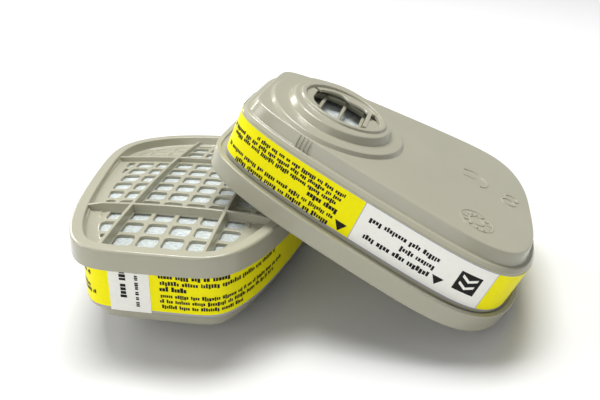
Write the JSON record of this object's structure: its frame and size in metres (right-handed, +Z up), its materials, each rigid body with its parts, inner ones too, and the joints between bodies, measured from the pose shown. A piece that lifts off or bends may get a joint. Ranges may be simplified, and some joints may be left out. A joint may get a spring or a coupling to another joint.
{
  "type": "respirator gas cartridge pair",
  "caption": "Two rounded-trapezoid half-mask gas cartridges with bayonet sockets, grilles and printed paper bands; one leans on the other.",
  "frame": {"origin": "middle of the pair's footprint, on the surface both cartridges lie on", "axes": "+Z up; +X along the pair's longest side, from the lower cartridge to the upper one; +Y away from the side where both label bands show best"},
  "size_m": [0.1504, 0.1098, 0.0646],
  "materials": {
    "body_plastic": "warm grey moulded plastic, satin",
    "label_paper": "printed yellow and white paper, smooth",
    "sticker_paper": "white paper, smooth",
    "filter_felt": "white non-woven fibre pad",
    "activated_carbon": "packed black granules, matte"
  },
  "bodies": {
    "lower_cartridge": {"lower_shell": "body_plastic", "lower_grille_cover": "body_plastic", "lower_label_band": "label_paper", "lower_lot_sticker": "sticker_paper", "lower_inlet_felt": "filter_felt", "lower_carbon_bed": "activated_carbon", "lower_outlet_felt": "filter_felt", "lower_support_grid": "body_plastic"},
    "upper_cartridge": {"upper_shell": "body_plastic", "upper_grille_cover": "body_plastic", "upper_label_band": "label_paper", "upper_lot_sticker": "sticker_paper", "upper_inlet_felt": "filter_felt", "upper_carbon_bed": "activated_carbon", "upper_outlet_felt": "filter_felt", "upper_support_grid": "body_plastic"}
  },
  "joints": [
    {"name": "upper_lift", "type": "slide", "parent": "lower_cartridge", "child": "upper_cartridge", "axis": [0, 0, 1], "range_m": [0, 0.08]}
  ]
}
